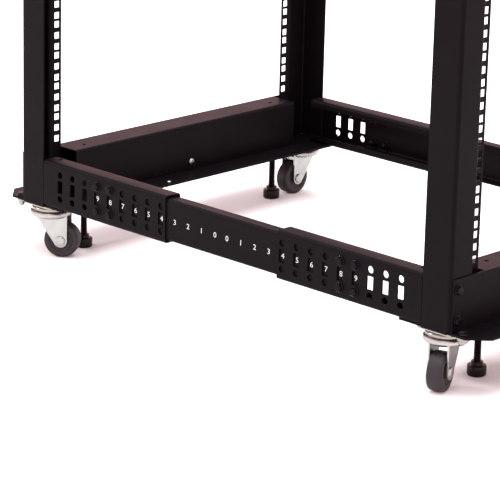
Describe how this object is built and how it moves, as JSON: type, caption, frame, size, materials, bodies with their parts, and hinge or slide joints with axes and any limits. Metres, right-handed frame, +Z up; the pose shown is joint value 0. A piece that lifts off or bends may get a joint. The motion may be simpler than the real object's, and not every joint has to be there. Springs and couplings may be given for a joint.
{
  "type": "four post open frame rack",
  "caption": "Open four post equipment rack with square hole rails, telescoping side beams with a printed depth scale, casters and levelling feet.",
  "frame": {"origin": "on the floor under the middle of the rack", "axes": "+Z up, +Y from the front to the rear, +X to the right seen from the front"},
  "size_m": [0.5978, 0.888, 0.7659],
  "materials": {
    "black_powder_coat": "satin",
    "zinc_plate": "bright zinc plate",
    "wheel_black": "satin moulded",
    "black_steel": "black oxide"
  },
  "bodies": {
    "frame": {"front_base_plate": "black_powder_coat", "front_base_cross_member": "black_powder_coat", "front_top_cross_member": "black_powder_coat", "rear_base_plate": "black_powder_coat", "rear_base_cross_member": "black_powder_coat", "rear_top_cross_member": "black_powder_coat", "front_left_post": "black_powder_coat", "front_left_base_sleeve": "black_powder_coat", "front_left_top_sleeve": "black_powder_coat", "front_left_caster_plate": "zinc_plate", "front_right_post": "black_powder_coat", "front_right_base_sleeve": "black_powder_coat", "front_right_top_sleeve": "black_powder_coat", "front_right_caster_plate": "zinc_plate", "rear_left_post": "black_powder_coat", "rear_left_base_sleeve": "black_powder_coat", "rear_left_top_sleeve": "black_powder_coat", "rear_left_caster_plate": "zinc_plate", "rear_right_post": "black_powder_coat", "rear_right_base_sleeve": "black_powder_coat", "rear_right_top_sleeve": "black_powder_coat", "rear_right_caster_plate": "zinc_plate", "left_base_inner_beam": "black_powder_coat", "left_top_inner_beam": "black_powder_coat", "right_base_inner_beam": "black_powder_coat", "right_top_inner_beam": "black_powder_coat"},
    "front_left_swivel": {"front_left_caster_fork": "zinc_plate"},
    "front_left_wheel": {"front_left_caster_wheel": "wheel_black"},
    "front_left_foot": {"front_left_leveller": "black_steel"},
    "front_right_swivel": {"front_right_caster_fork": "zinc_plate"},
    "front_right_wheel": {"front_right_caster_wheel": "wheel_black"},
    "front_right_foot": {"front_right_leveller": "black_steel"},
    "rear_left_swivel": {"rear_left_caster_fork": "zinc_plate"},
    "rear_left_wheel": {"rear_left_caster_wheel": "wheel_black"},
    "rear_left_foot": {"rear_left_leveller": "black_steel"},
    "rear_right_swivel": {"rear_right_caster_fork": "zinc_plate"},
    "rear_right_wheel": {"rear_right_caster_wheel": "wheel_black"},
    "rear_right_foot": {"rear_right_leveller": "black_steel"}
  },
  "joints": [
    {"name": "front_left_caster_swivel", "type": "hinge", "parent": "frame", "child": "front_left_swivel", "pos_m": [-0.2575, -0.368, 0.07], "axis": [0, 0, 1], "continuous": true},
    {"name": "front_left_wheel_spin", "type": "hinge", "parent": "front_left_swivel", "child": "front_left_wheel", "pos_m": [-0.27348, -0.37381, 0.0255], "axis": [0.342, -0.9397, 0], "continuous": true},
    {"name": "front_left_foot_screw", "type": "slide", "parent": "frame", "child": "front_left_foot", "axis": [0, 0, 1], "range_m": [-0.01, 0.025]},
    {"name": "front_right_caster_swivel", "type": "hinge", "parent": "frame", "child": "front_right_swivel", "pos_m": [0.2575, -0.368, 0.07], "axis": [0, 0, 1], "continuous": true},
    {"name": "front_right_wheel_spin", "type": "hinge", "parent": "front_right_swivel", "child": "front_right_wheel", "pos_m": [0.27052, -0.37893, 0.0255], "axis": [0.6428, 0.766, 0], "continuous": true},
    {"name": "front_right_foot_screw", "type": "slide", "parent": "frame", "child": "front_right_foot", "axis": [0, 0, 1], "range_m": [-0.01, 0.025]},
    {"name": "rear_left_caster_swivel", "type": "hinge", "parent": "frame", "child": "rear_left_swivel", "pos_m": [-0.2575, 0.368, 0.07], "axis": [0, 0, 1], "continuous": true},
    {"name": "rear_left_wheel_spin", "type": "hinge", "parent": "rear_left_swivel", "child": "rear_left_wheel", "pos_m": [-0.24824, 0.35374, 0.0255], "axis": [0.8387, 0.5446, 0], "continuous": true},
    {"name": "rear_left_foot_screw", "type": "slide", "parent": "frame", "child": "rear_left_foot", "axis": [0, 0, 1], "range_m": [-0.01, 0.025]},
    {"name": "rear_right_caster_swivel", "type": "hinge", "parent": "frame", "child": "rear_right_swivel", "pos_m": [0.2575, 0.368, 0.07], "axis": [0, 0, 1], "continuous": true},
    {"name": "rear_right_wheel_spin", "type": "hinge", "parent": "rear_right_swivel", "child": "rear_right_wheel", "pos_m": [0.2405, 0.368, 0.0255], "axis": [0, -1, 0], "continuous": true},
    {"name": "rear_right_foot_screw", "type": "slide", "parent": "frame", "child": "rear_right_foot", "axis": [0, 0, 1], "range_m": [-0.01, 0.025]}
  ]
}
